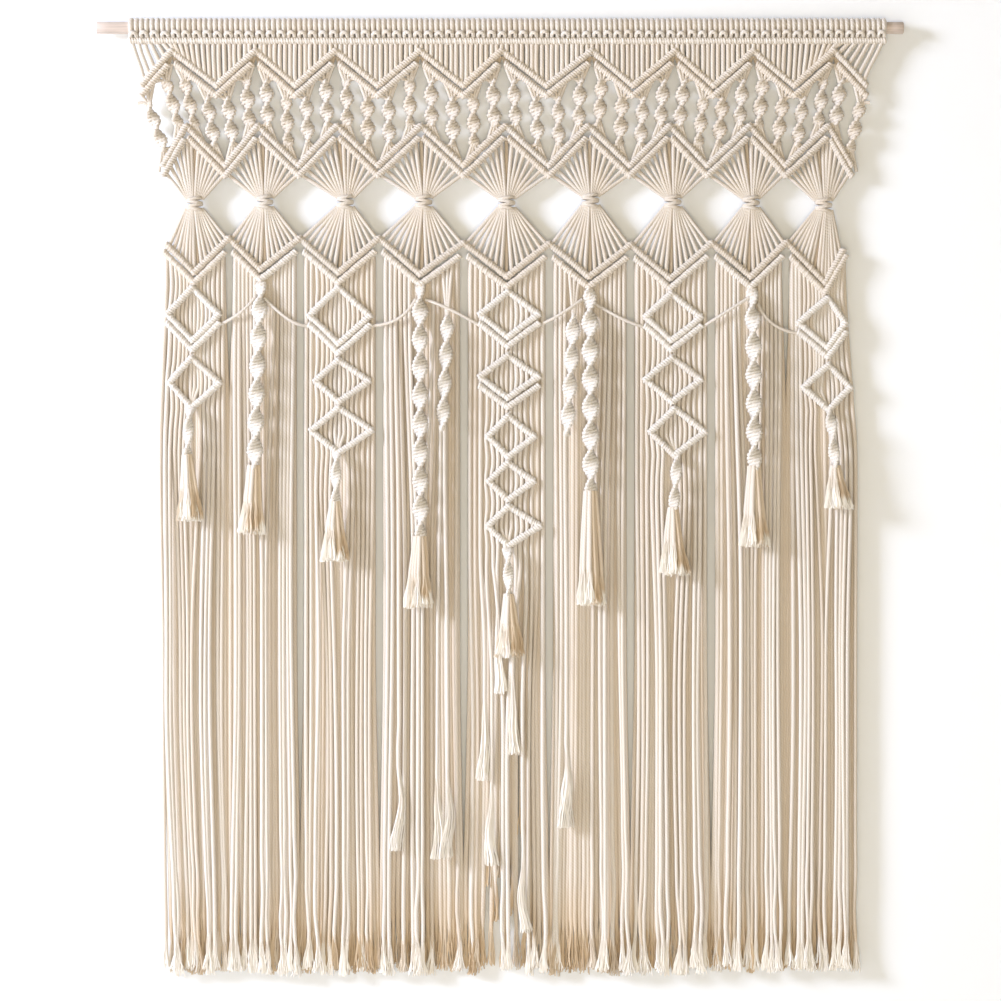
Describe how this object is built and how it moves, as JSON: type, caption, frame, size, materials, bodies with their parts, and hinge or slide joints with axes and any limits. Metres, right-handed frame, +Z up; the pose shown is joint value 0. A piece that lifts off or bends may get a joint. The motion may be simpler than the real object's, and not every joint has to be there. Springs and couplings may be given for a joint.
{
  "type": "macrame door curtain on a wooden rod",
  "caption": "Knotted cotton cord curtain hung from a wooden rod, with zigzag bars, fans, net diamonds, half-knot spirals and tassels over a long cord fringe.",
  "frame": {"origin": "the middle of the rod's axis, where the curtain is hung from", "axes": "X runs along the rod to the right as seen from the front, -Y faces the viewer and +Z is up"},
  "size_m": [1, 0.0365, 1.1832],
  "materials": {
    "wood": "matte",
    "cotton": "matte"
  },
  "bodies": {
    "root": {"rod": "wood", "heading": "cotton", "net": "cotton", "drop_1": "cotton", "drop_2": "cotton", "drop_3": "cotton", "drop_4": "cotton", "drop_5": "cotton", "drop_6": "cotton", "drop_7": "cotton", "drop_8": "cotton", "drop_9": "cotton", "swag_1": "cotton", "swag_2": "cotton", "swag_3": "cotton", "swag_4": "cotton", "swag_5": "cotton", "swag_6": "cotton", "swag_7": "cotton", "swag_8": "cotton"}
  },
  "joints": []
}
